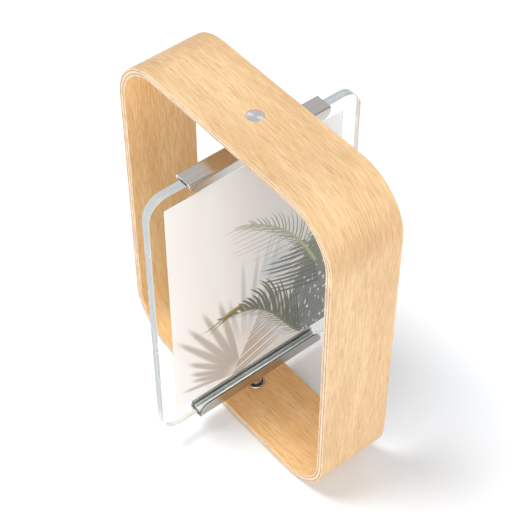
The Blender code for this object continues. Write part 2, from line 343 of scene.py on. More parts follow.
figure = {
    "sway": 7 * mm,  # how far the lines wander across the band
    "slope": 0.05,
    # repeats in a metre along and across the band
    "bends": (10, 14, 1),
    "drift": (12, 70, 1),
    "streak": (12, 480, 1),
    "fleck": (80, 1700, 1),
    "pores": (110, 2300, 1),
}


def makeVeneer(name, tones, seed, heart=None):
    wood = Nodes(name)
    pale, warm, pore = tones
    band = wood.add("ShaderNodeUVMap", uv_map="band").outputs[0]  # metres along and across the band
    place = (seed * 3.1, seed * 1.7, seed)
    sway = wood.noise(wood.scaled(band, figure["bends"], place), 1, 2, 0.5)
    split = wood.add("ShaderNodeSeparateXYZ")
    wood.link(band, split.inputs[0])
    across = wood.plus(split.outputs["Y"], wood.times(sway, figure["sway"]))
    across = wood.plus(across, wood.times(split.outputs["X"], figure["slope"]))
    joined = wood.add("ShaderNodeCombineXYZ")
    wood.link(split.outputs["X"], joined.inputs["X"])
    wood.link(across, joined.inputs["Y"])
    grain = joined.outputs[0]
    drift = wood.noise(wood.scaled(grain, figure["drift"], place), 1, 3, 0.55, 0.3)
    streak = wood.noise(wood.scaled(grain, figure["streak"], place), 1, 3, 0.65)
    fleck = wood.noise(wood.scaled(grain, figure["fleck"], place), 1, 2, 0.5)
    pores = wood.noise(wood.scaled(grain, figure["pores"], (place[1], place[0], 0)), 1, 2, 0.6)
    tone = wood.mix(wood.ramp(drift, 0.34, 0.66), pale, warm)
    tone = wood.mix(wood.ramp(streak, 0.46, 0.66, 0, 0.75), tone, warm)
    if heart:
        far = wood.add("ShaderNodeVectorMath", operation="LENGTH")
        scale = (1 / heart["long"], 1 / heart["wide"], 0)
        move = (-heart["along"] / heart["long"], -heart["across"] / heart["wide"], 0)
        wood.link(wood.scaled(band, scale, move), far.inputs[0])
        ragged = wood.plus(far.outputs["Value"], wood.times(drift, 0.8))
        close = wood.ramp(ragged, 0.5, 1.6, heart["amount"], 0)
        tone = wood.mix(close, tone, heart["colour"])
    tone = wood.mix(wood.ramp(fleck, 0.50, 0.68, 0, 0.50), tone, pore)
    tone = wood.mix(wood.ramp(pores, 0.56, 0.70, 0, 0.6), tone, pore)
    bright = tuple(min(1.18 * c, 0.95) for c in pale)
    tone = wood.mix(wood.ramp(fleck, 0.44, 0.30, 0, 0.6), tone, bright)
    wood.link(tone, wood.shader.inputs["Base Color"])
    wood.link(wood.ramp(pores, 0.4, 0.7, 0.45, 0.65), wood.shader.inputs["Roughness"])
    hollow = wood.plus(wood.times(pores, -1.0), wood.times(fleck, -0.6))
    wood.bump(hollow, 0.25, 0.12 * mm)
    wood.set(Specular_IOR_Level=0.3)
    return wood.material


def makeGlue():
    glue = Nodes("glueLine")
    speck = glue.noise(glue.scaled(glue.objectPoint(), (900, 900, 900)), 1, 2)
    tone = glue.mix(speck, hoop["glueDark"], hoop["glueLight"])
    glue.link(tone, glue.shader.inputs["Base Color"])
    glue.set(Roughness=0.7)
    return glue.material


def makeGlass(name, tint):
    glass = Nodes(name)
    glass.set(Base_Color=(*tint, 1), IOR=1.2, Transmission_Weight=1.0)
    smear = glass.noise(glass.scaled(glass.objectPoint(), (14, 14, 14)), 1, 3)
    glass.link(glass.ramp(smear, 0.45, 0.85, 0, 0.02), glass.shader.inputs["Roughness"])
    path = glass.add("ShaderNodeLightPath")
    clear = glass.add("ShaderNodeBsdfTransparent")
    clear.inputs["Color"].default_value = (*tint, 1)
    choose = glass.add("ShaderNodeMixShader")
    glass.link(path.outputs["Is Shadow Ray"], choose.inputs[0])
    glass.link(glass.shader.outputs[0], choose.inputs[1])
    glass.link(clear.outputs[0], choose.inputs[2])
    glass.link(choose.outputs[0], glass.output.inputs["Surface"])
    return glass.material


def makeGroundEdge(name, tint):
    edge = Nodes(name)
    edge.set(IOR=1.46, Transmission_Weight=0.55, Roughness=0.2)
    wave = edge.noise(edge.scaled(edge.objectPoint(), (500, 60, 60)), 1, 3)
    edge.link(edge.mix(wave, tuple(0.93 * c for c in tint), tint), edge.shader.inputs["Base Color"])
    edge.link(edge.ramp(wave, 0.3, 0.7, 0.12, 0.28), edge.shader.inputs["Roughness"])
    return edge.material


def makeBrushed(name, colour, along, roughness=0.3, depth=0.06):
    metal = Nodes(name)
    scale = {"Y": (4200, 45, 4200), "round": (2600, 2600, 300)}[along]
    line = metal.noise(metal.scaled(metal.objectPoint(), scale), 1, 3, 0.6)
    blotch = metal.noise(metal.scaled(metal.objectPoint(), (60, 30, 60)), 1, 3)
    dark = tuple(0.86 * c for c in colour)
    tone = metal.mix(metal.ramp(line, 0.25, 0.75), dark, colour)
    metal.link(tone, metal.shader.inputs["Base Color"])
    fine = metal.ramp(line, 0.2, 0.8, roughness - 0.05, roughness + 0.07)
    rough = metal.plus(fine, metal.ramp(blotch, 0.3, 0.7, -0.02, 0.03))
    metal.link(rough, metal.shader.inputs["Roughness"])
    metal.set(Metallic=1.0)
    metal.bump(line, depth, 0.05 * mm)
    return metal.material


def makeTurned(name, colour):
    metal = Nodes(name)
    point = metal.objectPoint()
    split = metal.add("ShaderNodeSeparateXYZ")
    metal.link(point, split.inputs[0])
    squares = [metal.math("POWER", split.outputs[axis], 2.0) for axis in ("X", "Y")]
    radius = metal.math("SQRT", metal.plus(*squares))
    ring = metal.math("SINE", metal.times(radius, 2 * math.pi / (0.18 * mm)))  # the tool's feed
    jitter = metal.noise(metal.scaled(point, (3000, 3000, 3000)), 1, 2)
    height = metal.plus(ring, jitter)
    metal.link(metal.mix(metal.ramp(height, -0.6, 1.6), tuple(0.8 * c for c in colour), colour),
               metal.shader.inputs["Base Color"])
    metal.set(Metallic=1.0, Roughness=0.3, Anisotropic=0.8)
    tangent = metal.add("ShaderNodeTangent", direction_type="RADIAL", axis="Z")
    metal.link(tangent.outputs[0], metal.shader.inputs["Tangent"])
    metal.bump(height, 0.15, 0.02 * mm)
    return metal.material


def makeSoft(name, dark, light, grain, roughness, depth):
    soft = Nodes(name)
    speck = soft.noise(soft.scaled(soft.objectPoint(), (grain, grain, grain)), 1, 4, 0.65)
    soft.link(soft.mix(soft.ramp(speck, 0.3, 0.7), dark, light), soft.shader.inputs["Base Color"])
    soft.set(Roughness=roughness)
    soft.bump(speck, 0.3, depth)
    return soft.material


hoop = {
    "cornerRadius": 35 * mm,
    "cornerSteps": 40,
    "easing": 0.5 * mm,
    "veneers": {"outer_ply": 1.1 * mm, "core_ply": 1.55 * mm, "inner_ply": 1.5 * mm},
    "coreSetBack": 0.05 * mm,
    "glueInsets": {"outerGlueLine": 1.11 * mm, "innerGlueLine": 3.11 * mm},
    "glueThick": 0.43 * mm,
    "glueTrim": 0.04 * mm,  # the films stop this far short of the rim
    "headGap": 0.3 * mm,
    "boreRadius": 3.3 * mm,
    "past": 5 * mm,  # the hole cutters reach this far outside the wood
    # pale wood, warm wood, pores
    "face": ((0.71, 0.495, 0.283), (0.61, 0.400, 0.210), (0.42, 0.240, 0.110)),
    # inside: a brighter, warmer copy of the face tones, painted light on the inner faces over the
    # veneer's own tone
    "inside": ((0.90, 0.585, 0.285), (0.81, 0.470, 0.200), (0.52, 0.270, 0.105)),
    "edge": ((0.78, 0.585, 0.400), (0.68, 0.480, 0.310), (0.52, 0.345, 0.215)),
    "core": ((0.80, 0.615, 0.420), (0.74, 0.545, 0.355), (0.60, 0.420, 0.260)),
    "heart": {"along": 103 * mm, "across": 0, "long": 20 * mm, "wide": 30 * mm,
              "amount": 0.7, "colour": (0.54, 0.33, 0.16)},
    "glueDark": (0.22, 0.135, 0.075),
    "glueLight": (0.31, 0.20, 0.12),
}
hoopLow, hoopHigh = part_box("outer_ply")
hoopMiddle = (hoopLow + hoopHigh) / 2
hoopHalf = (hoopHigh - hoopLow) / 2


# metres along the band from the top's middle; the veneer's joint is at the bottom's middle
def alongBand(x, z, side):
    radius = hoop["cornerRadius"]
    flatX, flatZ = hoopHalf.x - radius, hoopHalf.z - radius
    arc = radius * math.pi / 2
    across, up = abs(x), z - hoopMiddle.z
    if across <= flatX + 1e-6 and up > 0:
        length = across
    elif across <= flatX + 1e-6:
        length = flatX + arc + 2 * flatZ + arc + (flatX - across)
    elif abs(up) <= flatZ:
        length = flatX + arc + (flatZ - up)
    elif up > 0:
        length = flatX + radius * math.atan2(across - flatX, up - flatZ)
    else:
        length = flatX + arc + 2 * flatZ + radius * math.atan2(-up - flatZ, across - flatX)
    return math.copysign(length, side)


def addBandMap(piece):
    mesh = piece.data
    layer = mesh.uv_layers.new(name="band")
    for face in mesh.polygons:
        for corner in face.loop_indices:
            point = mesh.vertices[mesh.loops[corner].vertex_index].co
            layer.data[corner].uv = (alongBand(point.x, point.z, face.center.x), point.y)
    for other in [each for each in mesh.uv_layers if each.name != "band"]:
        mesh.uv_layers.remove(other)


# a box with round corners, opened at its front and back and given a wall
def makeBand(name, inset, thickness, trim=0.0):
    size = ((hoopHalf.x - inset) * 2, (hoopHalf.y - trim) * 2, (hoopHalf.z - inset) * 2)
    bpy.ops.mesh.primitive_cube_add(size=1, location=hoopMiddle, scale=size)
    band = startPiece(name)
    pickEdges(band, lambda a, b: abs(a.y - b.y) > mm)
    radius = hoop["cornerRadius"] - inset
    bpy.ops.mesh.bevel(offset=radius, segments=hoop["cornerSteps"], profile=0.5)
    leaveEdit()
    pickFaces(band, lambda face: abs(face.normal.y) > 0.9)
    bpy.ops.mesh.delete(type="ONLY_FACE")
    bpy.ops.mesh.select_all(action="SELECT")
    bpy.ops.mesh.bisect(plane_co=hoopMiddle, plane_no=(1, 0, 0))
    leaveEdit()
    giveWall(band, thickness)
    return band


# rounds the rims on the side of the band that a hand meets
def easeRims(band, outside):
    onSide = set()
    for face in band.data.polygons:
        outward = face.normal.dot(face.center - hoopMiddle) > 0
        if abs(face.normal.y) < 0.5 and outward == outside:
            onSide.update(face.vertices)
    half = hoopHalf.y - 1e-5
    startPicking(band, "EDGE")
    points = band.data.vertices
    for edge in band.data.edges:
        first, second = (points[i].co.y for i in edge.vertices)
        onRim = abs(first) > half and abs(first - second) < mm
        edge.select = onRim and onSide.issuperset(edge.vertices)
    bpy.ops.object.mode_set(mode="EDIT")
    bpy.ops.mesh.bevel(offset=hoop["easing"], segments=4, profile=0.5)
    leaveEdit()


def cutRound(piece, radius, low, high):
    bpy.ops.mesh.primitive_cylinder_add(
        vertices=96, radius=radius, depth=high - low, location=(0, 0, (low + high) / 2))
    cutter = startPiece("cutter")
    cut = piece.modifiers.new("hole", "BOOLEAN")
    cut.object = cutter
    cut.operation = "DIFFERENCE"
    activate(piece)
    bpy.ops.object.modifier_apply(modifier=cut.name)
    bpy.data.objects.remove(cutter, do_unlink=True)


def cutHeadHoles(piece, radius, deep):
    cutRound(piece, radius, hoopHigh.z - deep, hoopHigh.z + hoop["past"])
    cutRound(piece, radius, hoopLow.z - hoop["past"], hoopLow.z + deep)


def makeHoop():
    coreLow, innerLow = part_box("core_ply")[0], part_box("inner_ply")[0]
    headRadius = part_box("top_pivot_pin")[1].x + hoop["headGap"]
    plies = {}
    insets = {
        "outer_ply": 0,
        "core_ply": coreLow.x - hoopLow.x + hoop["coreSetBack"],
        "inner_ply": innerLow.x - hoopLow.x,
    }
    for node, inset in insets.items():
        plies[node] = makeBand(node.replace("ply", "veneer"), inset, hoop["veneers"][node])
    easeRims(plies["outer_ply"], outside=True)
    easeRims(plies["inner_ply"], outside=False)
    headDeep = insets["core_ply"] + hoop["veneers"]["core_ply"] + 0.1 * mm
    for node in ("outer_ply", "core_ply"):
        cutHeadHoles(plies[node], headRadius, headDeep)
    for level in (hoopLow.z, hoopHigh.z):
        cutRound(plies["inner_ply"], hoop["boreRadius"], level - 8 * mm, level + 8 * mm)
    looks = {
        "outer_ply": makeVeneer("oakFace", hoop["face"], 1, hoop["heart"]),
        "core_ply": makeVeneer("oakCore", hoop["core"], 5),
        # the inner veneer's brighter tones are painted light
        "inner_ply": makeVeneer("oakInsidePaintedLight", hoop["inside"], 9),
    }
    edge = makeVeneer("oakEdge", hoop["edge"], 3)
    for node, ply in plies.items():
        addBandMap(ply)
        finishPiece(ply, "hoop", node, [looks[node], edge], 35)
        for face in ply.data.polygons:
            face.material_index = 1 if node != "core_ply" and abs(face.normal.y) > 0.8 else 0
    glue = makeGlue()
    for name, inset in hoop["glueInsets"].items():
        film = makeBand(name, inset, hoop["glueThick"], hoop["glueTrim"])
        cutHeadHoles(film, headRadius, headDeep)
        finishPiece(film, "hoop", None, glue, 35)


makeHoop()
print("hoop is bent and glued")


turned = {
    "steps": 96,
    "edge": 0.35 * mm,
    "flangeEdge": 0.7 * mm,
    "discEdge": 0.15 * mm,
    "bore": 2.3 * mm,  # radius
    "shaft": 2.0 * mm,
    "headDeep": 1.6 * mm,
    "headOver": 0.2 * mm,  # closes the head's hole in the wood
    "headEdge": 0.12 * mm,
    "rings": (1.1, 1.2, 1.2),  # widths in mm of the steps that the tool left on the head
    "ringDeep": 0.02 * mm,
    "waveSheet": 0.3 * mm,
    "waves": 3,
    "steel": (0.80, 0.79, 0.80),
    "drawnSteel": (0.66, 0.65, 0.64),
    "disc": ((0.02, 0.02, 0.02), (0.05, 0.05, 0.05)),
    "bushing": ((0.72, 0.71, 0.68), (0.80, 0.79, 0.76)),
}


def makeSleeve(name, inner, outer, low, high, edge):
    bpy.ops.mesh.primitive_cylinder_add(
        vertices=turned["steps"], radius=outer, depth=high - low, location=(0, 0, (low + high) / 2))
    sleeve = startPiece(name)
    pickFaces(sleeve, lambda face: abs(face.normal.z) > 0.9)
    bpy.ops.mesh.inset(thickness=outer - inner, use_individual=True)
    bpy.ops.mesh.bridge_edge_loops()
    bpy.ops.mesh.select_all(action="SELECT")
    bpy.ops.mesh.normals_make_consistent(inside=False)
    leaveEdit()
    if edge:
        easeEdges(sleeve, edge, 4)
    return sleeve


def makePin(name, node, headUp):
    low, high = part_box(node)
    headRadius, headDeep = high.x + turned["headOver"], turned["headDeep"]
    way = 1 if headUp else -1
    headZ = high.z if headUp else low.z
    bpy.ops.mesh.primitive_cylinder_add(
        vertices=turned["steps"], radius=headRadius, depth=headDeep,
        location=(0, 0, headZ - way * headDeep / 2))
    pin = startPiece(name)
    pickFaces(pin, lambda face: face.normal.z * way < -0.9)
    bpy.ops.mesh.inset(thickness=headRadius - turned["shaft"])
    shaft = (high.z - low.z) - headDeep
    bpy.ops.mesh.extrude_region_move(TRANSFORM_OT_translate={"value": (0, 0, -way * shaft)})
    leaveEdit()
    pickFaces(pin, lambda face: face.normal.z * way > 0.9)
    for step in turned["rings"]:
        for sign in (-1, 1):
            bpy.ops.mesh.inset(thickness=step * mm / 2)
            bpy.ops.transform.translate(value=(0, 0, sign * way * turned["ringDeep"]))
    leaveEdit()
    easeEdges(pin, turned["headEdge"], 3, 60)
    return pin


def makePivots():
    turnedSteel = makeTurned("turnedSteel", turned["steel"])
    drawn = makeBrushed("drawnSteel", turned["drawnSteel"], "round", 0.26)
    darkDisc = makeSoft("frictionDisc", *turned["disc"], 2600, 0.6, 0.05 * mm)
    nylon = makeSoft("nylon", *turned["bushing"], 900, 0.5, 0.02 * mm)
    pins = (("topPivotPin", "top_pivot_pin", True), ("bottomPivotPin", "bottom_pivot_pin", False))
    for name, node, up in pins:
        finishPiece(makePin(name, node, up), "glass_pack", node, turnedSteel, 30)
    sleeves = (
        ("topThrustWasher", "top_thrust_washer", "hoop", drawn, turned["edge"]),
        ("topSpacer", "top_spacer", "glass_pack", drawn, turned["edge"]),
        ("postFlange", "post_flange", "hoop", drawn, turned["flangeEdge"]),
        ("bottomPost", "bottom_post", "glass_pack", drawn, turned["edge"]),
        ("frictionWasher", "friction_washer", "glass_pack", darkDisc, turned["discEdge"]),
    )
    for name, node, body, look, edge in sleeves:
        low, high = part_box(node)
        sleeve = makeSleeve(name, turned["bore"], high.x, low.z, high.z, edge)
        finishPiece(sleeve, body, node, look, 30)
    low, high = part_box("wave_washer")
    sheet = turned["waveSheet"]
    middle = (low.z + high.z) / 2
    under, over = middle - sheet / 2, middle + sheet / 2
    crest = (high.z - low.z - sheet) / 2
    washer = makeSleeve("waveWasher", turned["bore"], high.x, under, over, 0)
    for point in washer.data.vertices:
        point.co.z += crest * math.cos(turned["waves"] * math.atan2(point.co.y, point.co.x))
    finishPiece(washer, "glass_pack", "wave_washer", drawn, 30)
    for node in ("top_bushing", "bottom_bushing"):
        nodes[node].data.materials.clear()
        nodes[node].data.materials.append(nylon)


makePivots()
print("pivots are turned")


clip = {
    "sheet": 1.0 * mm,
    "fold": 1.3 * mm,
    "cornerShare": 0.8,  # of the flange's height
    "edge": 0.18 * mm,
    "screwHole": 2.3 * mm,  # radius
    "linerGap": 0.3 * mm,
    "linerBase": 0.6 * mm,
    "linerEdge": 0.25 * mm,
    "sheetColour": (0.59, 0.57, 0.545),
    # painted highlight: the top clip's cut edges are a brighter copy of the sheet metal
    "topCutPaintedHighlight": (0.90, 0.88, 0.87),
    # painted shade: the bottom clip's cut edges are darkened for the shadowed gap beside the glass
    "bottomCutPaintedShade": (0.15, 0.14, 0.13),
    "liner": ((0.42, 0.43, 0.42), (0.49, 0.50, 0.49)),
}


def makeClip(name, node, opensDown):
    low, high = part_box(node)
    size = high - low
    middle = (low + high) / 2
    bpy.ops.mesh.primitive_cube_add(size=1, location=middle, scale=size)
    channel = startPiece(name)
    web = high.z if opensDown else low.z
    mouth = low.z if opensDown else high.z
    pickFaces(channel, lambda face: abs(face.normal.y) > 0.9 or abs(face.center.z - mouth) < 1e-6)
    bpy.ops.mesh.delete(type="FACE")
    leaveEdit()
    pickPoints(channel, lambda point: abs(point.z - mouth) < 1e-6)
    bpy.ops.mesh.bevel(offset=size.z * clip["cornerShare"], segments=24, affect="VERTICES")
    leaveEdit()
    onWeb = lambda point: abs(point.z - web) < 1e-6
    pickEdges(channel, lambda a, b: onWeb(a) and onWeb(b) and abs(a.y - b.y) > mm)
    bpy.ops.mesh.bevel(offset=clip["fold"], segments=10, profile=0.5)
    leaveEdit()
    giveWall(channel, clip["sheet"])
    easeEdges(channel, clip["edge"], 3, 60)
    cutRound(channel, clip["screwHole"], web - 3 * mm, web + 3 * mm)
    return channel


def makeLiner(name, node, opensDown):
    low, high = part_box(node)
    size, middle = high - low, (low + high) / 2
    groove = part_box("front_glass")[1].x + clip["linerGap"]
    base = clip["linerBase"]
    way = -1 if opensDown else 1
    middle.z = (high.z if opensDown else low.z) + way * base / 2
    bpy.ops.mesh.primitive_cube_add(size=1, location=middle, scale=(size.x, size.y, base))
    liner = startPiece(name)
    bpy.ops.object.mode_set(mode="EDIT")
    for side in (-groove, groove):
        bpy.ops.mesh.select_all(action="SELECT")
        bpy.ops.mesh.bisect(plane_co=(side, 0, 0), plane_no=(1, 0, 0))
    leaveEdit()
    pickFaces(liner, lambda face: face.normal.z * way > 0.9 and abs(face.center.x) > groove)
    up = (0, 0, way * (size.z - base))
    bpy.ops.mesh.extrude_region_move(TRANSFORM_OT_translate={"value": up})
    leaveEdit()
    easeEdges(liner, clip["linerEdge"], 3, 60)
    return liner


def makeClips():
    sheet = makeBrushed("brushedSheet", clip["sheetColour"], "Y", 0.22, 0.03)
    # painted highlight on the top clip's cut edges
    paintedHighlightCut = makeBrushed("paintedHighlightCut", clip["topCutPaintedHighlight"], "round", 0.32, 0.02)
    # painted shade on the bottom clip's cut edges
    paintedShadeCut = makeBrushed("paintedShadeCut", clip["bottomCutPaintedShade"], "round", 0.4, 0.02)
    gasket = makeSoft("gasket", *clip["liner"], 1500, 0.7, 0.04 * mm)
    for end, down, cut in (("top", True, paintedHighlightCut), ("bottom", False, paintedShadeCut)):
        node = f"{end}_clip"
        channel = makeClip(f"{end}Clip", node, down)
        finishPiece(channel, "glass_pack", node, [sheet, cut], 30)
        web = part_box(node)[1].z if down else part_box(node)[0].z
        for face in channel.data.polygons:  # the cut edges carry a painted highlight on the top clip and painted shade on the bottom clip
            offWeb = abs(face.center.z - web) > clip["fold"] + clip["sheet"]
            isEnd = abs(face.normal.y) > 0.6
            face.material_index = int(abs(face.normal.x) < 0.3 and (isEnd or offWeb))
    for end, down in (("top", True), ("bottom", False)):
        node = f"{end}_clip_liner"
        finishPiece(makeLiner(f"{end}Liner", node, down), "glass_pack", node, gasket, 30)


makeClips()
print("clips are folded and lined")


pane = {
    "cornerRadius": 13.3 * mm,
    "edge": 0.2 * mm,
    "slit": 0.16 * mm,  # between the panes, where the thin paper prints lie
    "tint": (0.985, 0.995, 0.99),
    "edgeTint": (0.86, 0.92, 0.93),
}


def makePane(name, node):
    low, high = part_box(node)
    if high.x > 0:
        low.x = pane["slit"] / 2
    else:
        high.x = -pane["slit"] / 2
    bpy.ops.mesh.primitive_cube_add(size=1, location=(low + high) / 2, scale=high - low)
    sheet = startPiece(name)
    pickEdges(sheet, lambda a, b: abs(a.x - b.x) > mm)
    bpy.ops.mesh.bevel(offset=pane["cornerRadius"], segments=32, profile=0.5)
    leaveEdit()
    bpy.ops.object.mode_set(mode="EDIT")
    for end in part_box("bottom_clip"):  # the edge that the channels cover is left clear
        bpy.ops.mesh.select_all(action="SELECT")
        bpy.ops.mesh.bisect(plane_co=(0, end.y, 0), plane_no=(0, 1, 0))
    leaveEdit()
    outside = high.x if high.x > mm else low.x  # the side that faces the print stays sharp
    pickEdges(sheet, lambda a, b: max(abs(a.x - outside), abs(b.x - outside)) < 1e-6)
    bpy.ops.mesh.bevel(offset=pane["edge"], segments=3, profile=0.5)
    leaveEdit()
    return sheet


def makePanes():
    clear = makeGlass("clearGlass", pane["tint"])
    rim = makeGroundEdge("groundEdge", pane["edgeTint"])
    for name, node in (("frontPane", "front_glass"), ("rearPane", "rear_glass")):
        sheet = makePane(name, node)
        finishPiece(sheet, "glass_pack", node, [clear, rim], 30)
        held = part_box("bottom_clip")[1].y
        for face in sheet.data.polygons:
            isClear = abs(face.normal.x) > 0.99 or abs(face.center.y) < held
            face.material_index = 0 if isClear else 1


makePanes()
print("panes are cut and polished")


# a stalk starts at its root and swings out by "bend" at its tip and by "bow" on its way
def stalk(root, turn, length, bend, power=2, bow=0):
    return {"root": root, "turn": turn, "long": length, "bend": bend, "power": power, "bow": bow}


arch = stalk((110, 62), 114, 96, 31, 2.8)
spray = stalk((99, 2), 145, 98, 0, 2, -19)
picture = {
    "paperLeft": (0.722, 0.692, 0.676),
    # painted shade: the hoop's shadow over the print, as paper that is darker towards the right
    "paperPaintedShade": (0.565, 0.528, 0.520),
    "paperPaintedLight": (0.76, 0.745, 0.76),  # painted light at the upper right, where the painted shade of the hoop ends
    "thickness": 0.06 * mm,
    "edge": 0.015 * mm,
    "between": (0.12, 1.12),  # its faces' distances from the middle, in thicknesses
    # Places are in millimetres from the picture's lower left corner, turns in degrees.
    # Fans are soft shadows of whole leaves: turns, lengths at both, step between leaflets.
    "fans": (
        {"root": (54, -2), "turns": (71, 104), "long": (118, 104), "step": 8.2, "wide": 6.0,
         "soft": 2.0, "clear": (20, 60), "colour": (0.40, 0.39, 0.40), "strength": 0.68},
        {"root": (51, -1), "turns": (98, 164), "long": (112, 50), "step": 8.4, "wide": 7.6,
         "soft": 2.6, "clear": (4, 18), "colour": (0.31, 0.255, 0.225), "strength": 0.74},
        {"root": (62, 62), "turns": (24, 78), "long": (60, 72), "step": 5.4, "wide": 2.8,
         "soft": 1.1, "clear": (8, 22), "colour": (0.42, 0.46, 0.49), "strength": 0.72},
    ),
    # Fronds and stems follow a stalk up to "stop". Leaflets lean by "sweep", which grows by
    # "lean" to the tip, and get shorter from the first share of "fall" to the second.
    "fronds": (
        {**stalk((41, -4), 62, 62, 2),
         "gap": 4.6, "sweep": 1.1, "lean": 0, "curl": -0.004, "reach": 34, "fall": (0.3, 1.0),
         "stop": 1, "wide": 2.7, "soft": 0.9, "side": -1, "colour": (0.36, 0.27, 0.215),
         "strength": 0.8},
        {**stalk((50, 62), -62, 66, 6),
         "gap": 4.4, "sweep": 0.35, "lean": 0, "curl": 0.012, "reach": 34, "fall": (0.3, 1.0),
         "stop": 1, "wide": 2.1, "soft": 0.8, "side": 1, "colour": (0.42, 0.46, 0.48),
         "strength": 0.75},
        {**stalk((113, 40), 98, 50, 6),
         "gap": 4.6, "sweep": 0.34, "lean": 0, "curl": 0.006, "reach": 42, "fall": (0.5, 1.0),
         "stop": 1, "wide": 3.2, "soft": 0.4, "side": 1, "colour": (0.085, 0.09, 0.075),
         "strength": 0.93},
        {**stalk((113, 52), 92, 44, 2),
         "gap": 3.6, "sweep": 0.1, "lean": 0, "curl": 0, "reach": 30, "fall": (0.3, 1.0),
         "stop": 1, "wide": 1.4, "soft": 0.4, "side": 1, "colour": (0.13, 0.14, 0.11),
         "strength": 0.8},
        {**arch,
         "gap": 6.2, "sweep": 0.35, "lean": 0.5, "curl": 0.004, "reach": 30, "fall": (0.5, 1.0),
         "stop": 0.9, "wide": 1.0, "soft": 0.35, "side": 1, "colour": (0.24, 0.225, 0.175),
         "strength": 0.8},
        {**arch,
         "gap": 3.9, "sweep": 0.2, "lean": 2.2, "curl": -0.004, "reach": 17, "fall": (0.3, 0.9),
         "stop": 0.86, "wide": 1.5, "soft": 0.35, "side": -1, "colour": (0.17, 0.2, 0.105),
         "strength": 0.9},
        {**arch,
         "gap": 5.0, "sweep": 3.2, "lean": 1.0, "curl": 0, "reach": 6.5, "fall": (0.6, 1.0),
         "stop": 0.88, "wide": 1.1, "soft": 0.35, "side": 1, "colour": (0.2, 0.19, 0.12),
         "strength": 0.85},
        {**spray,
         "gap": 4.4, "sweep": 0.85, "lean": 0.75, "curl": 0.006, "reach": 27, "fall": (0.25, 0.8),
         "stop": 0.84, "wide": 3.2, "soft": 0.35, "side": -1, "colour": (0.08, 0.085, 0.055),
         "strength": 0.96},
        {**spray,
         "gap": 3.1, "sweep": 0.35, "lean": 1.1, "curl": 0, "reach": 30, "fall": (0.1, 0.7),
         "stop": 0.7, "wide": 1.5, "soft": 0.35, "side": -1, "colour": (0.12, 0.125, 0.09),
         "strength": 0.9},
        {**spray,
         "gap": 4.3, "sweep": 1.6, "lean": 1.6, "curl": 0, "reach": 7, "fall": (0.3, 1.0),
         "stop": 1, "wide": 1.2, "soft": 0.4, "side": 1, "colour": (0.2, 0.19, 0.13),
         "strength": 0.8},
    ),
    "stems": (
        {**arch, "stop": 0.88, "wide": 2.0, "colour": (0.31, 0.34, 0.17)},
        {**spray, "stop": 0.97, "wide": 1.7, "colour": (0.15, 0.15, 0.085)},
        {**stalk((53, 62), 176, 28, 8), "stop": 1, "wide": 2.8, "colour": (0.19, 0.16, 0.055)},
        {**stalk((52, 61), 186, 27, 6), "stop": 1, "wide": 2.2, "colour": (0.14, 0.12, 0.05)},
        {**stalk((50, 63), 179, 22, 7), "stop": 1, "wide": 1.8, "colour": (0.3, 0.24, 0.08)},
    ),
    # the dark planted corner lies beside one stem, under a slope and below a top, all ragged
    "planted": {"stem": 1, "rise": 2.6, "start": -188.0, "ragged": 46.0, "top": (92, 86),
                "dark": (0.11, 0.115, 0.11), "light": (0.20, 0.205, 0.20)},
    "plaster": (0.62, 0.58, 0.56),
}


# how far a point lies along a bent stem and beside it, in millimetres
def alongStem(paper, x, y, leaf):
    turn = math.radians(leaf["turn"])
    cos, sin = math.cos(turn), math.sin(turn)
    dx = paper.minus(x, float(leaf["root"][0]))
    dy = paper.minus(y, float(leaf["root"][1]))
    along = paper.plus(paper.times(dx, cos), paper.times(dy, sin))
    beside = paper.minus(paper.times(dy, cos), paper.times(dx, sin))
    share = paper.math("MAXIMUM", paper.over(along, float(leaf["long"])), 0.0)
    bend = paper.times(paper.math("POWER", share, float(leaf["power"])), float(leaf["bend"]))
    if leaf["bow"]:
        wave = paper.math("SINE", paper.times(paper.math("POWER", share, 1.3), math.pi))
        bend = paper.plus(bend, paper.times(wave, float(leaf["bow"])))
    return along, paper.minus(beside, bend)


# each leaflet gets its own length and sideways wander from its number
def chance(paper, number, seed):
    random = paper.add("ShaderNodeTexWhiteNoise", noise_dimensions="1D")
    paper.link(paper.plus(number, seed + 0.37), random.inputs["W"])
    return random.outputs["Value"]


def leafShape(paper, number, part, gap, out, reach, wide, soft, seed):
    wander = paper.times(paper.minus(chance(paper, number, seed + 7), 0.5), 0.42)
    off = paper.times(paper.math("ABSOLUTE", paper.minus(part, wander)), gap)
    reach = paper.times(reach, paper.ramp(chance(paper, number, seed), 0, 1, 0.76, 1.0))
    share = paper.over(out, paper.math("MAXIMUM", reach, 0.01))
    taper = paper.math("SQRT", paper.math("MAXIMUM", paper.minus(1.0, share), 0.0))
    half = paper.times(taper, wide / 2)
    edge = paper.minus(half, off)
    inside = paper.ramp(edge, -soft / 2, soft / 2)
    return paper.times(inside, paper.ramp(share, 1.0, 0.8))


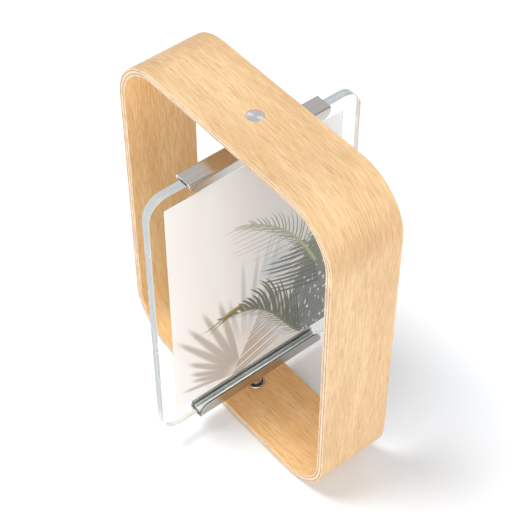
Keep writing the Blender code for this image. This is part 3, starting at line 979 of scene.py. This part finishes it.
def frondCover(paper, x, y, leaf, seed):
    along, beside = alongStem(paper, x, y, leaf)
    out = paper.times(beside, float(leaf["side"]))
    sweep = leaf["sweep"]
    if leaf["lean"]:
        share = paper.math("MAXIMUM", paper.over(along, float(leaf["long"])), 0.0)
        sweep = paper.plus(paper.times(share, leaf["lean"]), sweep)
    curl = paper.times(paper.math("POWER", paper.math("MAXIMUM", out, 0.0), 2.0), leaf["curl"])
    back = paper.plus(paper.times(out, sweep), curl)
    root = paper.minus(along, back)
    count = paper.over(root, float(leaf["gap"]))
    number = paper.math("FLOOR", count)
    part = paper.minus(paper.math("FRACT", count), 0.5)
    share = paper.over(root, float(leaf["long"]))
    fallStart, fallEnd = leaf["fall"]
    full = paper.times(paper.ramp(share, fallEnd, fallStart, 0.22, 1.0), float(leaf["reach"]))
    gap = leaf["gap"] / math.hypot(1, leaf["sweep"])
    cover = leafShape(paper, number, part, gap, out, full, leaf["wide"], leaf["soft"], seed)
    past = paper.ramp(share, leaf["stop"] + 0.01, leaf["stop"] - 0.01)
    ends = paper.times(paper.ramp(share, -0.01, 0.01), past)
    onSide = paper.ramp(out, -0.4, 0.2)
    return paper.times(cover, paper.times(ends, onSide))


def fanCover(paper, x, y, leaf, seed):
    dx = paper.minus(x, float(leaf["root"][0]))
    dy = paper.minus(y, float(leaf["root"][1]))
    far = paper.math("SQRT", paper.plus(paper.times(dx, dx), paper.times(dy, dy)))
    turn = paper.math("DEGREES", paper.math("ARCTAN2", dy, dx))
    first, last = leaf["turns"]
    count = paper.over(paper.minus(turn, float(first)), leaf["step"])
    number = paper.math("FLOOR", count)
    part = paper.minus(paper.math("FRACT", count), 0.5)
    gap = paper.times(far, math.radians(leaf["step"]))
    reach = paper.add("ShaderNodeMapRange").outputs[0]
    lengths = (turn, float(first), float(last), *map(float, leaf["long"]))
    for socket, value in zip(reach.node.inputs, lengths):
        paper.feed(socket, value)
    cover = leafShape(paper, number, part, gap, far, reach, leaf["wide"], leaf["soft"], seed)
    started = paper.ramp(turn, first - 0.5, first + 0.5)
    ends = paper.times(started, paper.ramp(turn, last + 0.5, last - 0.5))
    return paper.times(cover, paper.times(ends, paper.ramp(far, *leaf["clear"])))


# one look for both prints: each reads from left to right on its own side
def makePicture(low):
    paper = Nodes("palmPicture")
    split = paper.add("ShaderNodeSeparateXYZ")
    paper.link(paper.objectPoint(), split.inputs[0])
    towardsRight = paper.times(paper.math("SIGN", split.outputs["X"]), split.outputs["Y"])
    x = paper.times(paper.minus(towardsRight, low.y), 1000.0)
    y = paper.times(paper.minus(split.outputs["Z"], low.z), 1000.0)
    joined = paper.add("ShaderNodeCombineXYZ")
    paper.link(x, joined.inputs["X"])
    paper.link(y, joined.inputs["Y"])
    flat = joined.outputs[0]
    # painted shade: the paper darkens towards the right and top, where the hoop shades the print
    tone = paper.mix(paper.ramp(paper.plus(x, paper.times(y, 0.25)), 20, 150),
                     picture["paperLeft"], picture["paperPaintedShade"])
    # painted light: the upper right corner of the paper is made lighter
    tone = paper.mix(paper.ramp(paper.plus(x, y), 245, 268), tone, picture["paperPaintedLight"])
    plaster = paper.noise(paper.scaled(flat, (0.5, 1.6, 1)), 1, 4, 0.6)
    tone = paper.mix(paper.ramp(plaster, 0.3, 0.7, 0, 0.10), tone, picture["plaster"])
    for order, leaf in enumerate(picture["fans"]):
        cover = fanCover(paper, x, y, leaf, order * 11.0)
        tone = paper.mix(paper.times(cover, leaf["strength"]), tone, leaf["colour"])
    planted = picture["planted"]
    along, beside = alongStem(paper, x, y, picture["stems"][planted["stem"]])
    below = paper.minus(paper.plus(paper.times(x, planted["rise"]), planted["start"]), y)
    rough = paper.noise(paper.scaled(flat, (0.55, 0.14, 1)), 1, 3)
    ragged = paper.times(paper.minus(rough, 0.5), planted["ragged"])
    dark = paper.times(paper.ramp(beside, 0.5, -1.5), paper.ramp(paper.plus(below, ragged), -2, 3))
    dark = paper.times(dark, paper.ramp(paper.plus(y, ragged), *planted["top"]))
    spots = paper.noise(paper.scaled(flat, (0.55, 0.20, 1)), 1, 0, 0.4)
    specks = paper.ramp(spots, 0.68, 0.71, 1, 0)
    mottle = paper.noise(paper.scaled(flat, (0.12, 0.2, 1)), 1, 3)
    shade = paper.mix(mottle, planted["dark"], planted["light"])
    tone = paper.mix(paper.times(dark, specks), tone, shade)
    for order, leaf in enumerate(picture["fronds"]):
        cover = frondCover(paper, x, y, leaf, 40.0 + order * 13.0)
        tone = paper.mix(paper.times(cover, leaf["strength"]), tone, leaf["colour"])
    for stem in picture["stems"]:
        along, beside = alongStem(paper, x, y, stem)
        share = paper.over(along, float(stem["long"]))
        half = paper.times(paper.ramp(share, stem["stop"], 0.2, 0.15, 1.0), stem["wide"] / 2)
        line = paper.ramp(paper.minus(half, paper.math("ABSOLUTE", beside)), -0.2, 0.2)
        past = paper.ramp(share, stem["stop"], stem["stop"] - 0.03)
        ends = paper.times(paper.ramp(share, -0.01, 0.01), past)
        line = paper.times(line, ends)
        tone = paper.mix(line, tone, stem["colour"])
    paper.link(tone, paper.shader.inputs["Base Color"])
    paper.set(Roughness=0.45, Specular_IOR_Level=0.2)
    return paper.material


def makePrints():
    look = makePicture(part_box("front_print")[0])
    for name, node, way in (("frontPicture", "front_print", 1), ("rearPicture", "rear_print", -1)):
        low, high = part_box(node)
        near, far = (way * share * picture["thickness"] for share in picture["between"])
        low.x, high.x = min(near, far), max(near, far)
        bpy.ops.mesh.primitive_cube_add(size=1, location=(low + high) / 2, scale=high - low)
        sheet = startPiece(name)
        easeEdges(sheet, picture["edge"], 1)
        finishPiece(sheet, "glass_pack", node, look, 30)


makePrints()
print("pictures are printed")


feet = {"steps": 64, "edge": 0.2 * mm, "felt": ((0.30, 0.28, 0.26), (0.46, 0.44, 0.41))}


def makeFeet():
    felt = makeSoft("felt", *feet["felt"], 1800, 0.95, 0.2 * mm)
    for end in ("front", "rear"):
        for side in ("left", "right"):
            node = f"foot_{end}_{side}"
            low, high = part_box(node)
            radius, thick = (high.x - low.x) / 2, high.z - low.z
            bpy.ops.mesh.primitive_cylinder_add(
                vertices=feet["steps"], radius=radius, depth=thick, location=(low + high) / 2)
            foot = startPiece(f"{end}{side.title()}Foot")
            easeEdges(foot, feet["edge"])
            finishPiece(foot, "hoop", node, felt, 30)


makeFeet()
print("feet are stuck on")
